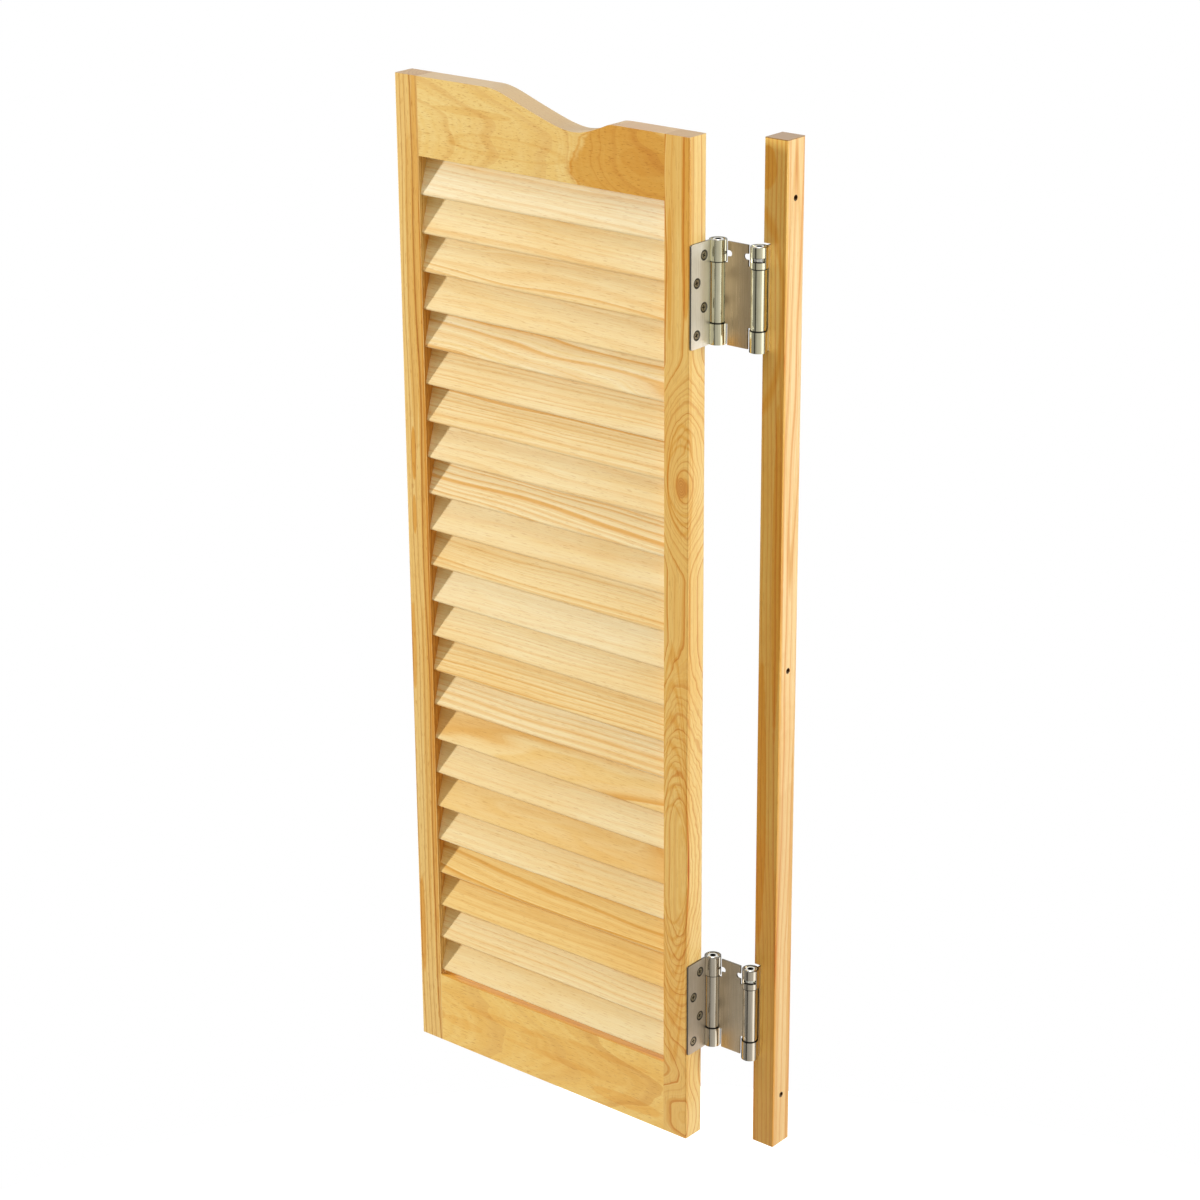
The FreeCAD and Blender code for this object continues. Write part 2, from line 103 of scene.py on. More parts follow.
def pine_finish(name, grain, heart, tilt, early, late, ring=0.0042, wave=0.005, bold=0.75, spread=0.0,
                flecks=0.22, stains=(), loops=(), swirls=(), knots=(), shaded_holes=(), top_sawn_and_sheen=0.55, seed=0.0):
    """Lacquered wood cut from a log whose heart passes through a point, with the grain along X or Z.

    ring is the width of one ring in metres, wave is how far the rings wander, and bold, spread and
    flecks are how dark, how soft and how flecked they are. Every mark has a centre and a reach. A
    stain adds an amount and a tint, a loop a width before them, and a swirl or a knot the number of
    rings by which it pushes the others aside.
    """
    thread_tint = (0.93, 0.78, 0.44, 1.0)
    cloud_tint = (0.95, 0.80, 0.54, 1.0)
    streak_tint = (0.88, 0.72, 0.45, 1.0)
    fleck_tint = (0.62, 0.38, 0.16, 1.0)
    halo_tint = (0.92, 0.72, 0.42, 1.0)
    hole_shade_tint = (0.10, 0.05, 0.02, 1.0)
    end_tint = (0.74, 0.66, 0.66, 1.0)
    finish = bpy.data.materials.new(name)
    finish.use_nodes = True
    tree, add, blend, ramp = workshop(finish)
    here = add("TexCoord", out="Object")

    def away(centre, reach):
        offset = add("VectorMath", here, centre, operation="SUBTRACT")
        scaled = add("VectorMath", offset, tuple(1 / r for r in reach), operation="MULTIPLY")
        return add("VectorMath", scaled, operation="LENGTH", out="Value")

    # The log's own axes: x runs along the grain, y and z across it, and the heart is at zero.
    turn = {"X": (0.0, 0.0, 0.0), "Z": (0.0, math.pi / 2, 0.0)}[grain]
    from_heart = add("VectorMath", here, heart, operation="SUBTRACT")
    upright = add("Mapping", from_heart, (seed, 0.0, 0.0), turn, (1.0, 1.0, 1.0))
    log = add("Mapping", upright, (0.0, 0.0, 0.0), (0.0, tilt[0], tilt[1]), (1.0, 1.0, 1.0))

    # The log isn't straight: its rings wander slowly along the grain.
    slow = add("VectorMath", log, (3.2, 16.0, 16.0), operation="MULTIPLY")
    drift = add("TexNoise", slow, None, 1.0, 2.0, 0.45, out="Color")
    centred = add("VectorMath", drift, (0.5, 0.5, 0.5), operation="SUBTRACT")
    wander = add("VectorMath", centred, (0.0, 2 * wave, 2 * wave), operation="MULTIPLY")
    bent = add("VectorMath", log, wander, operation="ADD")
    across = add("VectorMath", bent, (0.0, 1.0, 1.0), operation="MULTIPLY")
    radius = add("VectorMath", across, operation="LENGTH", out="Value")
    count = add("Math", radius, ring, operation="DIVIDE")

    # Knots and swirls push the rings aside, and a knot shows its own rings inside.
    ripple = add("TexNoise", here, None, 70.0, 2.0, 0.5)
    knot_cores = []
    for centre, reach, push in tuple(swirls) + tuple(knots):
        far = add("Math", ripple, 0.22, away(centre, reach), operation="MULTIPLY_ADD")
        far = add("Math", far, 0.11, operation="SUBTRACT")
        shove = add("MapRange", far, 0.6, 3.4, push, 0.0, interpolation_type="SMOOTHSTEP")
        count = add("Math", count, shove, operation="ADD")
        if (centre, reach, push) in tuple(knots):
            knot_cores.append(far)

    # A ring is pale spring wood that darkens to a thin line of summer wood, no two rings alike. The
    # spread makes that line wider and softer.
    uneven = add("TexNoise", None, count, 0.33, 1.0, 0.5, noise_dimensions="1D")
    count = add("Math", uneven, 1.8, count, operation="MULTIPLY_ADD")
    phase = add("Math", count, operation="FRACT")
    number = add("Math", count, operation="FLOOR")
    depth = add("TexWhiteNoise", None, number, noise_dimensions="1D")
    depth = add("MapRange", depth, 0.0, 1.0, 0.2, 1.0)
    line = ramp(phase, (0.0, 0.15 + spread), (0.05 + spread / 2, 0.0), (0.50 - spread, 0.04),
                (0.74 - spread, 0.30), (0.88, 1.0), (1.0, 0.8))
    line = add("Math", line, depth, operation="MULTIPLY")
    between = add("TexNoise", None, count, 5.0, 2.0, 0.6, noise_dimensions="1D")

    # Along the grain run fine fibres, short dark flecks and broad clouds of colour.
    fine = add("VectorMath", log, (26.0, 1000.0, 1000.0), operation="MULTIPLY")
    fibre = add("TexNoise", fine, None, 1.0, 3.0, 0.7)
    short = add("VectorMath", log, (90.0, 1300.0, 1300.0), operation="MULTIPLY")
    fleck = ramp(add("TexNoise", short, None, 1.0, 1.0, 0.5), (0.62, 0.0), (0.69, 1.0))
    broad = add("VectorMath", log, (5.0, 34.0, 34.0), operation="MULTIPLY")
    cloud = add("TexNoise", broad, None, 1.0, 3.0, 0.55)

    colour = blend(add("Math", line, bold, operation="MULTIPLY"), early, late)
    thread = add("MapRange", between, 0.36, 0.68, 0.0, 0.55 * bold)
    colour = blend(thread, colour, thread_tint, "MULTIPLY")
    shade = add("MapRange", cloud, 0.34, 0.70, 0.0, 0.6)
    colour = blend(shade, colour, cloud_tint, "MULTIPLY")
    streak = add("MapRange", fibre, 0.38, 0.68, 0.0, 0.40)
    colour = blend(streak, colour, streak_tint, "MULTIPLY")
    dash = add("Math", fleck, flecks, operation="MULTIPLY")
    colour = blend(dash, colour, fleck_tint, "MULTIPLY")

    # Stains are patches with a soft edge and loops are such a patch's outline alone. Round each hole
    # the colour is darkened with painted shade, down its walls and at its rim.
    for centre, reach, amount, stain in stains:
        edge = add("Math", cloud, 0.7, away(centre, reach), operation="MULTIPLY_ADD")
        edge = add("Math", ripple, 0.3, edge, operation="MULTIPLY_ADD")
        mask = add("MapRange", edge, 1.56, 1.40, 0.0, amount, interpolation_type="SMOOTHSTEP")
        colour = blend(mask, colour, stain, "MULTIPLY")
    for centre, reach, width, amount, stain in loops:
        edge = add("Math", cloud, 0.5, away(centre, reach), operation="MULTIPLY_ADD")
        edge = add("Math", edge, 1.25, operation="SUBTRACT")
        edge = add("Math", edge, operation="ABSOLUTE")
        mask = add("MapRange", edge, width, width * 0.25, 0.0, amount)
        colour = blend(mask, colour, stain, "MULTIPLY")
    for far in knot_cores:
        halo = add("MapRange", far, 1.9, 0.9, 0.0, 0.6, interpolation_type="SMOOTHSTEP")
        colour = blend(halo, colour, halo_tint, "MULTIPLY")
        core_count = add("Math", far, 4.0, operation="MULTIPLY")
        core_phase = add("Math", core_count, operation="FRACT")
        core_ring = ramp(core_phase, (0.0, 0.2), (0.7, 0.8), (1.0, 0.3))
        core = add("MapRange", far, 1.0, 0.84, 0.0, 0.85, interpolation_type="SMOOTHSTEP")
        colour = blend(core, colour, blend(core_ring, tone(222, 160, 78), tone(190, 122, 50)))
    # Painted shade round and down each hole.
    for centre, reach in shaded_holes:
        hole_shade = add("MapRange", away(centre, reach), 1.03, 0.97, 0.0, 0.96)
        colour = blend(hole_shade, colour, hole_shade_tint, "MULTIPLY")

    # End grain drinks more lacquer: it is darker, greyer and duller.
    grain_way = {"X": (1.0, 0.0, 0.0), "Z": (0.0, 0.0, 1.0)}[grain]
    normal = add("TexCoord", out="Normal")
    facing = add("VectorMath", normal, grain_way, operation="DOT_PRODUCT", out="Value")
    end = ramp(add("Math", facing, operation="ABSOLUTE"), (0.75, 0.0), (0.95, 1.0))
    colour = blend(end, colour, end_tint, "MULTIPLY")

    # Upward faces are painted paler and greyer than the rest: partly the unplaned sawn surface, partly
    # a painted sheen from the light above.
    upward = add("SeparateXYZ", normal, out="Z")
    sawn = ramp(upward, (0.45, 0.0), (0.75, 1.0))
    sawn = add("Math", sawn, top_sawn_and_sheen, operation="MULTIPLY")
    colour = blend(sawn, colour, tone(213, 190, 164))

    gloss = add("MapRange", fibre, 0.2, 0.8, 0.33, 0.43)
    gloss = add("Math", end, 0.15, gloss, operation="MULTIPLY_ADD")
    relief = add("Math", line, 0.35, fibre, operation="MULTIPLY_ADD")
    bump = add("Bump", 0.22, 0.0002, None, relief)

    lacquer = tree.nodes["Principled BSDF"]
    tree.links.new(colour, lacquer.inputs["Base Color"])
    tree.links.new(gloss, lacquer.inputs["Roughness"])
    tree.links.new(bump, lacquer.inputs["Normal"])
    lacquer.inputs["Coat Weight"].default_value = 0.15
    lacquer.inputs["Coat Roughness"].default_value = 0.22
    return finish


def dress(node, finish):
    """Give a carried-over node one finish all over."""
    mesh = nodes[node].data
    mesh.materials.clear()
    mesh.materials.append(finish)


gold_early = tone(243, 218, 150)
gold_late = tone(212, 152, 68)
# Amber for real stains, and on the bottom rail's top for a painted shadow.
amber_stain_and_shade = (0.88, 0.70, 0.40, 1.0)
heartwood_stain = (0.84, 0.62, 0.30, 1.0)
resin_stain = (0.86, 0.60, 0.24, 1.0)
inner_edge_shade = (0.84, 0.58, 0.26, 1.0)

# The free stile has short streaks of resin down its front, and its inner edge between the slots is
# painted a darker amber: painted shade, where it lies in shadow between the louvres.
free_low, free_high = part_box("free_stile")
free_pine = pine_finish(
    "pine free stile", "Z", (free_high.x + 0.035, free_high.y + 0.02, 0.0), (0.006, 0.0),
    tone(241, 213, 146), tone(190, 130, 46), ring=0.0038, wave=0.005, bold=0.9, flecks=0.6,
    stains=[((free_low.x + 0.011, free_low.y, 0.150), (0.0030, 0.02, 0.030), 0.9, resin_stain),
            ((free_low.x + 0.010, free_low.y, 0.085), (0.0026, 0.02, 0.022), 0.8, resin_stain),
            ((free_low.x + 0.004, free_low.y, -0.060), (0.0032, 0.02, 0.050), 0.7, resin_stain),
            ((free_low.x + 0.005, free_low.y, -0.390), (0.0040, 0.02, 0.060), 0.8, resin_stain),
            ((free_low.x + 0.015, free_low.y, 0.330), (0.0060, 0.02, 0.160), 0.60, amber_stain_and_shade),
            ((free_low.x + 0.017, free_low.y, -0.200), (0.0030, 0.02, 0.200), 0.50, amber_stain_and_shade),
            ((free_high.x - 0.005, free_low.y, 0.10), (0.0045, 0.03, 0.60), 0.75, amber_stain_and_shade),
            ((free_high.x - 0.002, free_low.y, -0.05), (0.0014, 0.03, 0.48), 0.8, resin_stain),
            # Painted shade on the inner edge, seen between the louvres.
            ((free_high.x + 0.0005, free_low.y + 0.013, 0.0), (0.0012, 0.020, 0.47), 1.0, inner_edge_shade)],
    seed=1.3)
dress("free_stile", free_pine)

# The hinge stile is flat sawn, with a long pointed figure below its middle and a knot above it.
hinge_low, hinge_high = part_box("hinge_stile")
hinge_mid = (hinge_low.x + hinge_high.x) / 2
hinge_front = (0.94, 0.83, 0.64, 1.0)
arc_stain = (0.88, 0.66, 0.28, 1.0)
hinge_pine = pine_finish(
    "pine hinge stile", "Z", (hinge_mid + 0.004, hinge_low.y + 0.075, 0.0), (0.012, 0.0),
    tone(246, 224, 160), tone(216, 152, 58), ring=0.0050, wave=0.008, bold=1.0, flecks=0.3,
    swirls=[((hinge_mid - 0.002, hinge_low.y, -0.215), (0.016, 0.05, 0.074), 15.0),
            ((hinge_mid + 0.008, hinge_low.y, 0.205), (0.016, 0.05, 0.034), 9.0),
            ((hinge_mid - 0.008, hinge_low.y, -0.500), (0.012, 0.05, 0.016), 3.0)],
    knots=[((hinge_mid + 0.006, hinge_low.y, 0.187), (0.0062, 0.012, 0.0115), 3.0)],
    stains=[((hinge_mid, hinge_low.y, 0.0), (0.045, 0.0050, 1.20), 0.95, hinge_front),
            ((hinge_high.x - 0.004, hinge_low.y, 0.46), (0.005, 0.004, 0.10), 0.8, arc_stain),
            ((hinge_low.x + 0.006, hinge_low.y, 0.40), (0.003, 0.004, 0.07), 0.6, arc_stain)],
    loops=[((hinge_mid - 0.002, hinge_low.y, -0.215), (0.017, 0.008, reach), 0.05, 0.6, arc_stain)
           for reach in (0.062, 0.082, 0.104, 0.128, 0.156, 0.190, 0.226)]
          + [((hinge_mid + 0.008, hinge_low.y, 0.195), (0.019, 0.008, reach), 0.07, 0.6, arc_stain)
             for reach in (0.034, 0.043, 0.053)],
    seed=4.1)
dress("hinge_stile", hinge_pine)

# ---- Rails --------------------------------------------------------------------------------------
# The boards across the top and the foot. The top one is bandsawn to an ogee from a board with a
# patch of darker heartwood at its low end. Both are doweled between the stiles.
top_low, top_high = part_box("top_rail")
heartwood_x = top_high.x - 0.0365
heartwood_z = top_high.z - 0.058
top_pine = pine_finish(
    "pine top rail", "X", (top_high.x, top_low.y + 0.060, top_low.z + 0.02), (0.0, 0.10),
    gold_early, gold_late, ring=0.0060, wave=0.008, bold=0.42, flecks=0.55,
    loops=[((heartwood_x, top_low.y, heartwood_z), (0.0745, 0.06, 0.0545), 0.03, 0.6, resin_stain),
           ((top_low.x + 0.115, top_low.y, top_low.z + 0.0225), (0.070, 0.05, 0.010),
            0.14, 0.35, amber_stain_and_shade),
           ((top_low.x + 0.085, top_low.y, top_low.z + 0.0195), (0.040, 0.05, 0.004),
            0.25, 0.35, amber_stain_and_shade)],
    stains=[((heartwood_x, top_low.y, heartwood_z), (0.074, 0.06, 0.054), 0.95, heartwood_stain),
            ((heartwood_x + 0.014, top_low.y, heartwood_z + 0.012), (0.030, 0.03, 0.014),
             0.35, amber_stain_and_shade),
            ((top_low.x + 0.075, top_low.y, top_low.z + 0.052), (0.05, 0.02, 0.004), 0.4, amber_stain_and_shade)],
    swirls=[((heartwood_x + 0.012, top_low.y, heartwood_z + 0.014), (0.034, 0.04, 0.022), 4.0)],
    seed=2.6)
dress("top_rail", top_pine)

# The bottom rail's top edge is planed and lacquered like its face, and its top face is painted dark
# amber, a painted shadow under the lowest louvre.
foot_low, foot_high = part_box("bottom_rail")
flame_stain = (0.94, 0.78, 0.50, 1.0)
foot_pine = pine_finish(
    "pine bottom rail", "X", (foot_low.x, foot_low.y + 0.060, foot_low.z + 0.05), (0.0, -0.06),
    tone(248, 215, 134), tone(219, 162, 76), ring=0.0060, wave=0.009, bold=0.62, flecks=0.45,
    stains=[((foot_high.x - 0.11, foot_low.y, foot_low.z + 0.045), (0.09, 0.03, 0.018), 0.35, amber_stain_and_shade),
            ((foot_low.x + 0.09, foot_low.y, foot_low.z + 0.052), (0.060, 0.03, 0.0045), 0.5, flame_stain),
            ((foot_low.x + 0.03, foot_low.y, foot_low.z + 0.030), (0.028, 0.03, 0.0060), 0.5, flame_stain),
            ((foot_low.x + 0.16, foot_low.y, foot_low.z + 0.033), (0.070, 0.03, 0.0040), 0.4, flame_stain),
            ((foot_high.x - 0.05, foot_low.y, foot_low.z + 0.016), (0.050, 0.03, 0.0075), 0.7, flame_stain),
            ((foot_high.x - 0.07, foot_low.y, foot_low.z + 0.060), (0.060, 0.03, 0.0040), 0.4, flame_stain),
            # Painted shadow of the lowest louvre along the rail's top face.
            ((foot_low.x + 0.15, foot_low.y + 0.013, foot_high.z), (0.30, 0.030, 0.0008),
             1.0, amber_stain_and_shade)],
    top_sawn_and_sheen=0.0, seed=7.7)
dress("bottom_rail", foot_pine)

# ---- Louvres ------------------------------------------------------------------------------------
# Thin planed slats of paler pine with rounded long edges, each cut from another part of the board.
# Their ends stand in the stiles' slanting slots.

# How amber and how boldly figured the slats are, by number from the foot; the others vary a little.
amber_slats = {1: 0.1, 3: 0.75, 4: 0.7, 5: 0.15, 6: 0.45, 8: 0.4, 9: -0.1, 10: 0.25, 12: -0.1, 13: 0.15,
               15: -0.2, 19: -0.2, 20: 0.15, 23: -0.3}
bold_slats = {4: 1.0, 6: 1.0, 8: 0.9, 9: 0.9, 10: 0.9, 13: 0.8, 15: 1.0, 17: 0.9, 19: 0.95, 21: 0.7}
slats = random.Random(23)
for number in range(1, 24):
    name = "louvre_%02d" % number
    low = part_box(name)[0]
    amber = amber_slats.get(number, slats.uniform(0.0, 0.12))
    early = tone(249 - 4 * amber, 236 - 25 * amber, 198 - 62 * amber)
    late = tone(231 - 8 * amber, 184 - 17 * amber, 104 - 34 * amber)
    heart = (low.x + slats.uniform(0.0, 0.3), low.y + slats.uniform(0.012, 0.09),
             low.z + slats.uniform(-0.03, 0.06))
    slat_pine = pine_finish(
        "pine " + name, "X", heart, (slats.uniform(-0.012, 0.012), slats.uniform(-0.02, 0.02)),
        early, late, ring=slats.uniform(0.0042, 0.0066), wave=slats.uniform(0.005, 0.012),
        bold=bold_slats.get(number, slats.uniform(0.32, 0.52)), spread=0.20, flecks=0.3, seed=number * 1.7)
    dress(name, slat_pine)

# ---- Dowels -------------------------------------------------------------------------------------
# Fluted beech pins glued into the rails' ends and the stiles. They are shut in by the joints.
leaf_middle = (-0.26, -0.049, 0.0)
dowel_finish = pine_finish("beech dowels", "X", leaf_middle, (0.0, 0.0), tone(222, 184, 140),
                           tone(190, 146, 100), ring=0.0012, wave=0.001, bold=0.5)
dress("rail_dowels", dowel_finish)

# ---- Mounting strip -----------------------------------------------------------------------------
# A square batten of straight-grained pine that screws to the jamb, with streaks of heartwood on its
# front. Its whole front is painted a warmer orange, deepest at the foot, a painted warm bounce light in
# the leaf's shadow. It is notched for the hinge leaves and drilled for its own screws.
strip_low, strip_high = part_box("jamb_strip")
strip_front = (0.93, 0.72, 0.30, 1.0)
front_bounce_shade = (1.0, 0.91, 0.52, 1.0)
foot_bounce_shade = (1.0, 0.84, 0.56, 1.0)
side_shade = (0.92, 0.86, 0.74, 1.0)
sawn_end = (0.42, 0.36, 0.30, 1.0)
screw_hole_levels = (-0.471, 0.0, 0.471)
screw_hole_rim = 0.0030
strip_pine = pine_finish(
    "pine strip", "Z", (strip_low.x - 0.02, strip_high.y + 0.010, 0.0), (0.010, -0.005),
    tone(252, 230, 184), tone(230, 160, 70), ring=0.0040, wave=0.006, bold=1.0,
    # Painted warm bounce light over the front face, stronger towards its foot.
    stains=[((strip_low.x + 0.010, strip_low.y, 0.0), (0.030, 0.0034, 1.20), 1.0, front_bounce_shade),
            ((strip_low.x + 0.010, strip_low.y, -0.42), (0.030, 0.0034, 0.24), 0.6, foot_bounce_shade),
            ((strip_high.x, 0.0, -0.40), (0.004, 0.040, 0.28), 0.6, side_shade),
            ((strip_high.x, 0.0, -0.45), (0.004, 0.040, 0.45), 0.6, side_shade),
            ((strip_low.x + 0.013, 0.0, strip_high.z), (0.05, 0.05, 0.0009), 1.0, sawn_end),
            ((strip_low.x + 0.020, strip_low.y, 0.10), (0.005, 0.0030, 0.18), 0.85, strip_front),
            ((strip_low.x + 0.004, strip_low.y, -0.14), (0.008, 0.0030, 0.16), 0.85, strip_front),
            ((strip_low.x + 0.003, strip_low.y, 0.500), (0.011, 0.0030, 0.022), 0.85, strip_front),
            ((strip_high.x, 0.010, -0.40), (0.004, 0.003, 0.34), 0.8, amber_stain_and_shade),
            ((strip_high.x, -0.011, -0.30), (0.004, 0.003, 0.40), 0.6, amber_stain_and_shade),
            ((strip_high.x, -0.013, 0.30), (0.004, 0.003, 0.30), 0.6, amber_stain_and_shade)],
    loops=[((strip_low.x - 0.012, strip_low.y, 0.360), (0.034, 0.005, 0.100), 0.12, 0.8, strip_front)]
          + [((strip_high.x, 0.001, 0.30), (0.004, reach, 0.20), 0.16, 0.45, amber_stain_and_shade)
             for reach in (0.004, 0.007, 0.010)],
    # Painted shade down each screw hole and round its rim.
    shaded_holes=[((0.0, 0.0, level), (1.0, screw_hole_rim, screw_hole_rim)) for level in screw_hole_levels],
    seed=5.9)
dress("jamb_strip", strip_pine)

# ---- Hinge leaves and centre plates -------------------------------------------------------------
# Rolled and pressed steel plate, 2 mm on the leaves and 1.6 mm in the middle, brushed up and down
# and plated with satin nickel. Each leaf is screwed to its wood with its knuckles round the axis.
hinge_axis_y = -0.02415
door_axis_x = -0.0711
jamb_axis_x = -0.0231
door_face_x = -0.0740
jamb_face_x = -0.0202
countersink_radius = 0.0054

# Heights above a leaf's foot: the foot knuckle's top, the top knuckle's lower end, and the screws,
# each with its distance from the axis.
knuckle_rise = 0.0211
upper_knuckle_rise = 0.0805
screw_rows = ((0.0130, 0.0281), (0.0382, 0.0174), (0.0634, 0.0281), (0.0886, 0.0174))


def satin_nickel(name, colour, plate_rough, barrel_rough, barrels=(), flat_way=None, rings=(), plate=None,
                 joints=(), recess=0.0):
    """Brushed metal, smoother where it is rolled round a barrel, with painted shade on its sheared edges
    and barrel ends.

    Painted shade darkens it inside the rings, each a point and a reach, round the barrels at the
    levels of the joints, and in a recess of that radius down a barrel's middle.
    """
    worn_tint = (0.88, 0.86, 0.80, 1.0)
    scratch_tint = (0.72, 0.70, 0.64, 1.0)
    edge_shade = (0.05, 0.045, 0.035, 1.0)
    painted_shade_dark = (0.03, 0.026, 0.02, 1.0)
    barrel_reach = 0.0088
    plate_start = 0.0094
    far_off = 1.0
    finish = bpy.data.materials.new(name)
    finish.use_nodes = True
    tree, add, blend, ramp = workshop(finish)
    here = add("TexCoord", out="Object")
    drawn_out = add("VectorMath", here, (1300.0, 1300.0, 26.0), operation="MULTIPLY")
    lines = add("TexNoise", drawn_out, None, 1.0, 4.0, 0.7)
    clouds = add("TexNoise", here, None, 55.0, 3.0, 0.6)

    def from_axis(axis_x):
        offset = add("VectorMath", here, (axis_x, hinge_axis_y, 0.0), operation="SUBTRACT")
        level = add("VectorMath", offset, (1.0, 1.0, 0.0), operation="MULTIPLY")
        return add("VectorMath", level, operation="LENGTH", out="Value")

    nearest = far_off
    for axis_x in barrels:
        nearest = add("Math", nearest, from_axis(axis_x), operation="MINIMUM")
    on_plate = add("MapRange", nearest, barrel_reach, plate_start, 0.0, 1.0)
    rough = add("MapRange", on_plate, 0.0, 1.0, barrel_rough, plate_rough)
    tint = blend(on_plate, colour, plate or colour)
    worn = add("MapRange", clouds, 0.35, 0.7, 0.0, 0.5)
    tint = blend(worn, tint, worn_tint, "MULTIPLY")
    scratch = add("MapRange", lines, 0.40, 0.66, 0.0, 0.6)
    tint = blend(scratch, tint, scratch_tint, "MULTIPLY")
    drag = add("MapRange", lines, 0.25, 0.75, -0.05, 0.05)
    rough = add("Math", drag, rough, operation="ADD")
    # Painted shade on the plates' sheared edges and on the barrels' ends.
    if flat_way:
        normal = add("TexCoord", out="Normal")
        facing = add("VectorMath", normal, flat_way, operation="DOT_PRODUCT", out="Value")
        facing = add("Math", facing, operation="ABSOLUTE")
        plate_edge = add("MapRange", facing, 0.3, 0.6, 1.0, 0.0)
        plate_edge = add("Math", plate_edge, on_plate, operation="MULTIPLY")
        rise = add("Math", add("SeparateXYZ", normal, out="Z"), operation="ABSOLUTE")
        barrel_end = add("MapRange", rise, 0.5, 0.8, 0.0, 1.0)
        edge = add("Math", plate_edge, barrel_end, operation="MAXIMUM")
        edge = add("Math", edge, 0.8, operation="MULTIPLY")
        tint = blend(edge, tint, edge_shade)
    # Painted shade in each screw's countersink.
    for ring_x, ring_y, ring_z, reach in rings:
        offset = add("VectorMath", here, (ring_x, ring_y, ring_z), operation="SUBTRACT")
        far = add("VectorMath", offset, operation="LENGTH", out="Value")
        in_painted_shade = add("MapRange", far, reach, reach * 0.94, 0.0, 0.9)
        tint = blend(in_painted_shade, tint, painted_shade_dark)
    off_plate = add("Math", 1.0, on_plate, operation="SUBTRACT")
    height = add("SeparateXYZ", here, out="Z")
    # Painted shade round the barrels at each joint's level.
    for joint in joints:
        apart = add("Math", height, joint, operation="SUBTRACT")
        apart = add("Math", apart, operation="ABSOLUTE")
        joint_shade = add("MapRange", apart, 0.0009, 0.0005, 0.0, 0.9)
        joint_shade = add("Math", joint_shade, off_plate, operation="MULTIPLY")
        tint = blend(joint_shade, tint, painted_shade_dark)
    # Painted shade down the socket in a barrel's middle.
    if recess:
        recess_shade = add("MapRange", nearest, recess, recess * 0.94, 0.0, 0.96)
        tint = blend(recess_shade, tint, painted_shade_dark)
    steel = tree.nodes["Principled BSDF"]
    steel.inputs["Metallic"].default_value = 1.0
    tree.links.new(tint, steel.inputs["Base Color"])
    tree.links.new(rough, steel.inputs["Roughness"])
    tree.links.new(add("Bump", 0.15, 0.00006, None, lines), steel.inputs["Normal"])
    return finish


# The nickel of each hinge's barrels, leaf plates and centre plate. These tones are painted light and
# reflection on one nickel, set as each hinge and part looks in its light: the upper hinge's is yellower
# and brighter, the lower one's darker and greyer, and a leaf's barrel differs from its flat plate.
hinge_tones_as_lit = {"upper": (tone(236, 231, 200), tone(252, 250, 240), tone(226, 200, 158)),
               "lower": (tone(212, 202, 184), tone(214, 204, 190), tone(216, 200, 174))}
for hinge, (nickel, leaf_nickel, centre_nickel) in hinge_tones_as_lit.items():
    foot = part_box(hinge + "_door_leaf")[0].z
    knuckle_ends = (foot + knuckle_rise, foot + upper_knuckle_rise)
    for side, axis_x, face_x, way in (("door", door_axis_x, door_face_x, -1),
                                      ("jamb", jamb_axis_x, jamb_face_x, 1)):
        sinks = [(face_x, hinge_axis_y + way * reach, foot + rise, countersink_radius)
                 for rise, reach in screw_rows]
        leaf_finish = satin_nickel("nickel %s %s leaf" % (hinge, side), nickel, 0.40, 0.10, (axis_x,),
                                   (1.0, 0.0, 0.0), sinks, leaf_nickel, knuckle_ends)
        dress("%s_%s_leaf" % (hinge, side), leaf_finish)
    centre_finish = satin_nickel("nickel %s centre plate" % hinge, nickel, 0.30, 0.10,
                                 (door_axis_x, jamb_axis_x), (0.0, 1.0, 0.0), plate=centre_nickel,
                                 joints=knuckle_ends)
    dress(hinge + "_centre_plate", centre_finish)

# ---- Adjusters, pivot pins and springs ----------------------------------------------------------
# The turned steel that sets each barrel's tension. The adjusters are chromed, with a key socket in
# the top and a ring of pin holes below it, the pivot pins are bright, and the springs are oiled wire.
pin_hole_drop = 0.0121
window_half_height = 0.0021
key_socket_radius = 0.0032
pin_levels = [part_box(hinge + "_door_leaf")[1].z - pin_hole_drop for hinge in ("upper", "lower")]
window_rims = [level + rim for level in pin_levels for rim in (-window_half_height, window_half_height)]
# The chrome carries painted shade in bands at the rims of the window over each adjuster and down each key
# socket.
chrome = satin_nickel("bright chrome", tone(232, 231, 224), 0.10, 0.10, (door_axis_x, jamb_axis_x),
                      joints=window_rims, recess=key_socket_radius)
pin_steel = satin_nickel("turned pin steel", tone(176, 174, 170), 0.28, 0.28)
spring_steel = satin_nickel("oiled spring steel", tone(104, 102, 100), 0.38, 0.38)
for hinge in ("upper", "lower"):
    for side in ("door", "jamb"):
        dress("%s_%s_adjuster" % (hinge, side), chrome)
        dress("%s_%s_pivot_pin" % (hinge, side), pin_steel)
        dress("%s_%s_spring" % (hinge, side), spring_steel)

# ---- Leaf screws --------------------------------------------------------------------------------
# Countersunk cross-recess wood screws, nickel plated, four to a leaf in a zigzag. Each has a cross
# recess struck in its head and a coarse thread in the wood.
head_radius = 0.0042
face_radius = 0.0036
bevel_drop = 0.0003
head_sink = 0.0004
shank_radius = 0.0021
root_radius = 0.0015
recess_reach = 0.0023
recess_half_width = 0.00052
recess_depth = 0.0019
thread_pitch = 0.0018
plain_shank = 0.003
tip_radius = 0.0003
screw_nickel = satin_nickel("nickel screws", tone(172, 165, 145), 0.30, 0.30)
screw_recess_shade = satin_nickel("screw recess painted shade", tone(36, 32, 26), 0.45, 0.45)


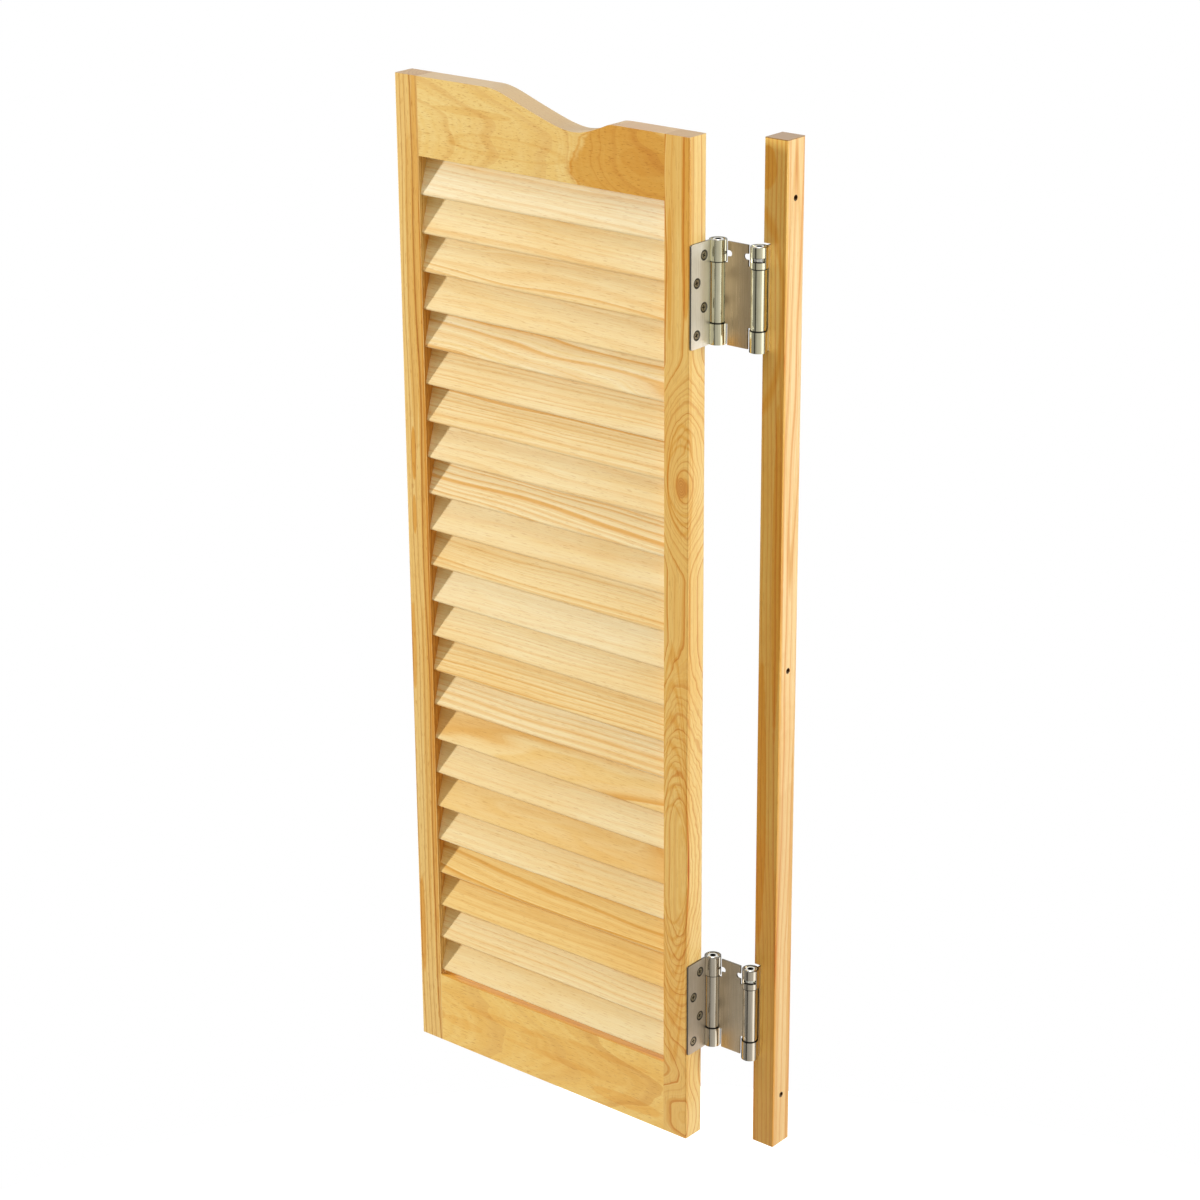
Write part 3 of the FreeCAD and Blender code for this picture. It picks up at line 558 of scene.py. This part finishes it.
def cross_screw(length):
    """One screw with its head's face at zero and its point down -Z."""
    mesh = bmesh.new()
    bmesh.ops.create_circle(mesh, segments=24, radius=face_radius)
    rim_edges = mesh.edges[:]

    # The cross is a square whose four sides are pulled out into arms.
    square = bmesh.ops.create_circle(mesh, segments=4, radius=recess_half_width * math.sqrt(2),
                                     cap_ends=True)["verts"]
    bmesh.ops.rotate(mesh, verts=square, matrix=Matrix.Rotation(math.radians(45), 3, "Z"))
    centre = square[0].link_faces[0]
    for side in centre.edges[:]:
        outward = (side.verts[0].co + side.verts[1].co).normalized()
        arm = bmesh.ops.extrude_edge_only(mesh, edges=[side])["geom"]
        tips = [item for item in arm if isinstance(item, bmesh.types.BMVert)]
        bmesh.ops.translate(mesh, verts=tips, vec=outward * (recess_reach - recess_half_width))

    # Only the cross's outline stays, and the head's face is bridged from it to the rim.
    inner_edges = [edge for edge in mesh.edges if len(edge.link_faces) == 2]
    bmesh.ops.delete(mesh, geom=mesh.faces[:], context="FACES_ONLY")
    bmesh.ops.delete(mesh, geom=inner_edges, context="EDGES")
    cross_edges = [edge for edge in mesh.edges if edge not in rim_edges]
    bmesh.ops.bridge_loops(mesh, edges=rim_edges + cross_edges)

    # The recess narrows downwards to a point.
    walls = bmesh.ops.extrude_edge_only(mesh, edges=cross_edges)["geom"]
    floor_verts = [item for item in walls if isinstance(item, bmesh.types.BMVert)]
    floor_edges = [item for item in walls if isinstance(item, bmesh.types.BMEdge)]
    bmesh.ops.scale(mesh, verts=floor_verts, vec=(0.35, 0.35, 1.0))
    bmesh.ops.translate(mesh, verts=floor_verts, vec=(0.0, 0.0, -recess_depth))
    bmesh.ops.holes_fill(mesh, edges=floor_edges, sides=0)

    # The cone, the shank, the thread's ridges and the point are rings pulled down from the rim.
    rings = [(head_radius, bevel_drop), (shank_radius, bevel_drop + head_radius - shank_radius)]
    depth = rings[-1][1] + plain_shank
    while depth < length - 2 * thread_pitch:
        rings += [(root_radius, depth), (shank_radius, depth + thread_pitch / 2)]
        depth += thread_pitch
    rings += [(root_radius, depth), (tip_radius, length)]
    edges = rim_edges
    radius = face_radius
    level = 0.0
    for next_radius, next_level in rings:
        pulled = bmesh.ops.extrude_edge_only(mesh, edges=edges)["geom"]
        verts = [item for item in pulled if isinstance(item, bmesh.types.BMVert)]
        edges = [item for item in pulled if isinstance(item, bmesh.types.BMEdge)
                 and all(vert in verts for vert in item.verts)]
        share = next_radius / radius
        bmesh.ops.scale(mesh, verts=verts, vec=(share, share, 1.0))
        bmesh.ops.translate(mesh, verts=verts, vec=(0.0, 0.0, level - next_level))
        radius = next_radius
        level = next_level
    bmesh.ops.holes_fill(mesh, edges=edges, sides=0)
    bmesh.ops.recalc_face_normals(mesh, faces=mesh.faces[:])

    # The recess and the bevel round the head take a dark material: painted shade.
    for face in mesh.faces:
        middle = face.calc_center_median()
        reach = math.hypot(middle.x, middle.y)
        in_painted_shade = face.normal.z < 0.99 and middle.z < -0.0001
        if in_painted_shade and (reach < recess_reach or reach > face_radius):
            face.material_index = 1
    return mesh


def screw_group(name, body, node, face_x, way, length):
    """The eight screws of one side, driven in along way on X, and turned each a little differently."""
    whole = bmesh.new()
    turns = random.Random(8)
    for hinge in ("upper", "lower"):
        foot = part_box("%s_%s_leaf" % (hinge, body))[0].z
        for rise, reach in screw_rows:
            one = cross_screw(length)
            place = Vector((face_x + way * head_sink, hinge_axis_y + way * reach, foot + rise))
            spin = Matrix.Rotation(turns.uniform(0.0, math.pi / 2), 4, "Z")
            lay = Matrix.Rotation(way * -math.pi / 2, 4, "Y")
            bmesh.ops.transform(one, verts=one.verts[:], matrix=Matrix.Translation(place) @ lay @ spin)
            part = bpy.data.meshes.new("part")
            one.to_mesh(part)
            one.free()
            whole.from_mesh(part)
            bpy.data.meshes.remove(part)
    mesh = bpy.data.meshes.new(name)
    whole.to_mesh(mesh)
    whole.free()
    piece = bpy.data.objects.new(name, mesh)
    bpy.context.scene.collection.objects.link(piece)
    mesh.materials.append(screw_nickel)
    mesh.materials.append(screw_recess_shade)
    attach(piece, body)
    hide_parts(node)


screw_group("cross_screws_door", "door", "door_leaf_screws", door_face_x, -1, 0.0220)
screw_group("cross_screws_jamb", "jamb", "jamb_leaf_screws", jamb_face_x, 1, 0.0160)

# ---- Studio -------------------------------------------------------------------------------------
# A plain pale floor well below the hung leaf and a ring of pale cards that metal reflects. Lamps: a
# narrow one far to the left, a tall one to the right, a broad one overhead and one behind. The left
# and back lamps are kept out of reflections, where their glare would bleach the lacquer.
floor_radius = 1.7
floor_centre = (-0.2, 0.0, -1.5)
floor_glow = 0.75
glow_in_gloss = 0.35
floor_mesh = bpy.data.meshes.new("studio_floor")
sheet = bmesh.new()
bmesh.ops.create_circle(sheet, cap_ends=True, segments=64, radius=floor_radius)
bmesh.ops.translate(sheet, verts=sheet.verts[:], vec=floor_centre)
sheet.to_mesh(floor_mesh)
sheet.free()
studio_floor = bpy.data.objects.new("studio_floor", floor_mesh)
bpy.context.scene.collection.objects.link(studio_floor)
pale_paint = bpy.data.materials.new("pale floor")
pale_paint.use_nodes = True
tree, add, blend, ramp = workshop(pale_paint)
path = tree.nodes.new("ShaderNodeLightPath")
seen = add("Math", path.outputs["Is Camera Ray"], path.outputs["Is Transmission Ray"], operation="MAXIMUM")
seen = add("Math", path.outputs["Is Glossy Ray"], glow_in_gloss, seen, operation="MULTIPLY_ADD")
glow = tree.nodes.new("ShaderNodeEmission")
tree.links.new(add("Math", seen, floor_glow, operation="MULTIPLY"), glow.inputs["Strength"])
paint = tree.nodes["Principled BSDF"]
paint.inputs["Base Color"].default_value = (0.6, 0.6, 0.6, 1.0)
paint.inputs["Roughness"].default_value = 0.9
both = tree.nodes.new("ShaderNodeAddShader")
tree.links.new(paint.outputs[0], both.inputs[0])
tree.links.new(glow.outputs[0], both.inputs[1])
tree.links.new(both.outputs[0], tree.nodes["Material Output"].inputs["Surface"])
floor_mesh.materials.append(pale_paint)

# How bright each card of the ring is, by its bearing in degrees: 0 is straight in front of the leaf
# and positive is to the right. A ramp holds levels up to 1, so they are halved in it and doubled
# after it.
ring_cards = ((-180, 0.05), (-98, 0.05), (-88, 0.42), (-58, 0.42), (-40, 0.28), (-22, 0.28), (-13, 0.03),
              (-4, 0.06), (6, 0.42), (39, 0.55), (74, 0.75), (84, 1.6), (104, 1.6), (112, 0.8),
              (117, 0.06), (123, 0.06), (129, 1.3), (160, 1.3), (170, 0.05), (180, 0.05))
room_light = 0.39
warm_fill = (1.0, 0.77, 0.40, 1.0)
neutral = (1.0, 1.0, 1.0, 1.0)
surround = bpy.data.worlds.new("studio surround")
surround.use_nodes = True
bpy.context.scene.world = surround
tree, add, blend, ramp = workshop(surround)
path = tree.nodes.new("ShaderNodeLightPath")
seen = add("Math", path.outputs["Is Camera Ray"], path.outputs["Is Transmission Ray"], operation="MAXIMUM")
white = tree.nodes["Background"]
white.inputs["Color"].default_value = neutral
dim = tree.nodes.new("ShaderNodeBackground")
way = tree.nodes.new("ShaderNodeSeparateXYZ")
tree.links.new(add("TexCoord", out="Object"), way.inputs[0])
to_front = add("Math", way.outputs["Y"], -1.0, operation="MULTIPLY")
bearing = add("Math", way.outputs["X"], to_front, operation="ARCTAN2")
bearing = add("Math", bearing, 1 / (2 * math.pi), 0.5, operation="MULTIPLY_ADD")
cards = ramp(bearing, *((0.5 + angle / 360, level / 2) for angle, level in ring_cards))
cards = add("Math", cards, 2.0, operation="MULTIPLY")
cards = add("MapRange", way.outputs["Z"], 0.0, 0.2, cards, 1.0)
level = add("MapRange", path.outputs["Is Glossy Ray"], 0.0, 1.0, room_light, cards)
tree.links.new(level, dim.inputs["Strength"])
warmth = blend(path.outputs["Is Glossy Ray"], warm_fill, neutral)
tree.links.new(warmth, dim.inputs["Color"])
either = tree.nodes.new("ShaderNodeMixShader")
tree.links.new(seen, either.inputs[0])
tree.links.new(dim.outputs[0], either.inputs[1])
tree.links.new(white.outputs[0], either.inputs[2])
tree.links.new(either.outputs[0], tree.nodes["World Output"].inputs["Surface"])

aim = Vector((-0.22, -0.04, 0.0))
cool_white = (0.98, 1.03, 1.10)


def soft_lamp(name, bearing, height, distance, width, tall, watts):
    """A rectangular lamp aimed at the leaf. Bearing 0 is straight in front, positive to the right."""
    angle = math.radians(bearing)
    rise = math.radians(height)
    way = Vector((math.sin(angle) * math.cos(rise), -math.cos(angle) * math.cos(rise), math.sin(rise)))
    lamp = bpy.data.lights.new(name, "AREA")
    lamp.shape = "RECTANGLE"
    lamp.size = width
    lamp.size_y = tall
    lamp.energy = watts
    lamp.color = cool_white
    holder = bpy.data.objects.new(name, lamp)
    bpy.context.scene.collection.objects.link(holder)
    holder.location = aim + way * distance
    holder.rotation_euler = way.to_track_quat("Z", "Y").to_euler()
    return holder


left_lamp = soft_lamp("left lamp", -63.0, 12.0, 4.5, 0.22, 0.7, 204.0)
left_lamp.visible_glossy = False
soft_lamp("right lamp", 100.0, 10.0, 3.5, 0.9, 1.6, 72.0)
soft_lamp("top lamp", 30.0, 70.0, 3.0, 1.6, 1.6, 24.0)
back_lamp = soft_lamp("back lamp", -165.0, 2.0, 4.0, 1.6, 1.8, 72.0)
back_lamp.visible_glossy = False

bpy.context.scene.view_settings.view_transform = "Standard"
lens = bpy.data.cameras.new("studio camera")
lens.sensor_width = 36.0
lens.lens = 92.517
lens.clip_end = 50.0
camera = bpy.data.objects.new("studio camera", lens)
bpy.context.scene.collection.objects.link(camera)
eye = (1.6347, -2.27015, 1.13365)
yaw = math.radians(39.51)
pitch = math.radians(20.76)
roll = math.radians(-0.39)
ahead = Vector((-math.sin(yaw) * math.cos(pitch), math.cos(yaw) * math.cos(pitch), -math.sin(pitch)))
right = Vector((math.cos(yaw), math.sin(yaw), 0.0))
up = right.cross(ahead)
camera_right = math.cos(roll) * right + math.sin(roll) * up
camera_up = math.cos(roll) * up - math.sin(roll) * right
turned = Matrix((camera_right, camera_up, -ahead)).transposed().to_4x4()
camera.matrix_world = Matrix.Translation(eye) @ turned
bpy.context.scene.camera = camera
